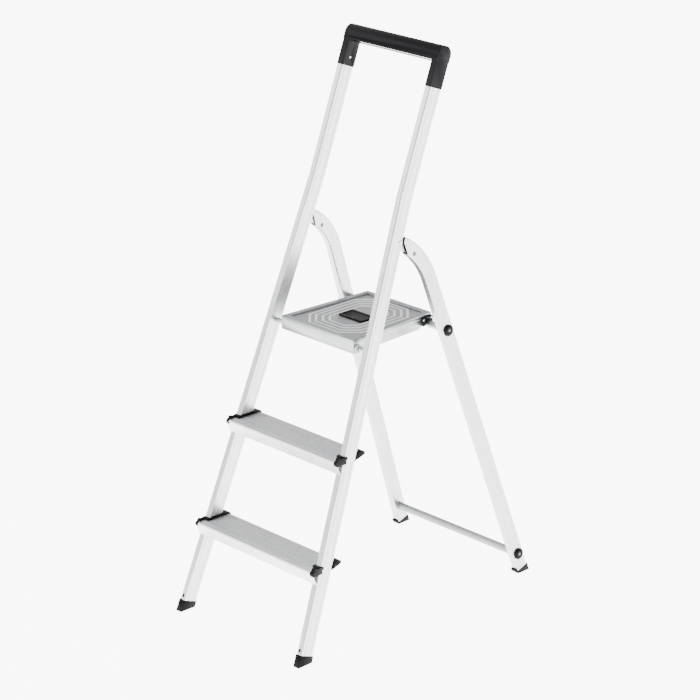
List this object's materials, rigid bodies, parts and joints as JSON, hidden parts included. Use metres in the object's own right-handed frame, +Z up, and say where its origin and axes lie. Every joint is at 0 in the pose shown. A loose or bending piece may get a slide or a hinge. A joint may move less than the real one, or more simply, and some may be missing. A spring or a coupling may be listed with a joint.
{
  "type": "step stool",
  "caption": "Folding aluminium step stool with ribbed treads, a hinged sheet platform, swing-out rear legs and a tall hand rail.",
  "frame": {"origin": "on the floor, at the middle of the open stool's footprint", "axes": "+Z up, +X to the right of a person facing the treads, +Y from the treads towards the rear legs"},
  "size_m": [0.4302, 0.7584, 1.323],
  "materials": {
    "aluminium_tube": "drawn and lightly anodised, faint lengthwise grain",
    "aluminium_tread": "extruded with anti-slip ribs",
    "aluminium_sheet": "pressed sheet, satin",
    "steel_bar": "plated bar, satin",
    "steel_rivet": "plated",
    "dark_rivet": "blackened",
    "grip_plastic": "fine moulded grain",
    "grip_insert": "soft ribbed",
    "black_plastic": "moulded",
    "bush_nylon": "moulded",
    "foot_rubber": "matte"
  },
  "bodies": {
    "front_frame": {"stile_left": "aluminium_tube", "stile_right": "aluminium_tube", "hand_grip": "grip_plastic", "grip_ribbed_insert": "grip_insert", "tread_lower": "aluminium_tread", "tread_upper": "aluminium_tread", "tread_clip_lower_left": "black_plastic", "tread_clip_lower_right": "black_plastic", "tread_clip_upper_left": "black_plastic", "tread_clip_upper_right": "black_plastic", "tread_rivets": "steel_rivet", "sleeve_screws": "steel_rivet", "front_foot_left": "foot_rubber", "front_foot_right": "foot_rubber", "leg_pivot_left": "steel_rivet", "leg_pivot_right": "steel_rivet", "platform_pivot_rod": "steel_bar"},
    "rear_frame": {"rear_leg_left": "aluminium_tube", "rear_leg_right": "aluminium_tube", "arm_tongue_left": "steel_rivet", "arm_tongue_right": "steel_rivet", "arm_rivets": "dark_rivet", "upper_crossbar": "steel_bar", "lower_crossbar": "steel_bar", "bar_cap_upper_left": "black_plastic", "bar_cap_upper_right": "black_plastic", "bar_cap_lower_left": "black_plastic", "bar_cap_lower_right": "black_plastic", "bar_cap_rivets": "dark_rivet", "rear_foot_left": "foot_rubber", "rear_foot_right": "foot_rubber"},
    "platform": {"platform_deck": "aluminium_sheet", "platform_stiffener": "aluminium_sheet", "deck_insert": "black_plastic", "platform_bush_left": "bush_nylon", "platform_bush_right": "bush_nylon", "platform_hook_left": "black_plastic", "platform_hook_right": "black_plastic", "hook_rivets": "steel_rivet"}
  },
  "joints": [
    {"name": "rear_frame_fold", "type": "hinge", "parent": "front_frame", "child": "rear_frame", "pos_m": [0, -0.00857, 0.901], "axis": [-1, 0, 0], "range_deg": [0, 39.8]},
    {"name": "platform_fold", "type": "hinge", "parent": "front_frame", "child": "platform", "pos_m": [0, -0.10767, 0.668], "axis": [1, 0, 0], "range_deg": [0, 69.5]}
  ],
  "couplings": [
    {"joint": "platform_fold", "follows": "rear_frame_fold", "ratio": 1.745}
  ]
}
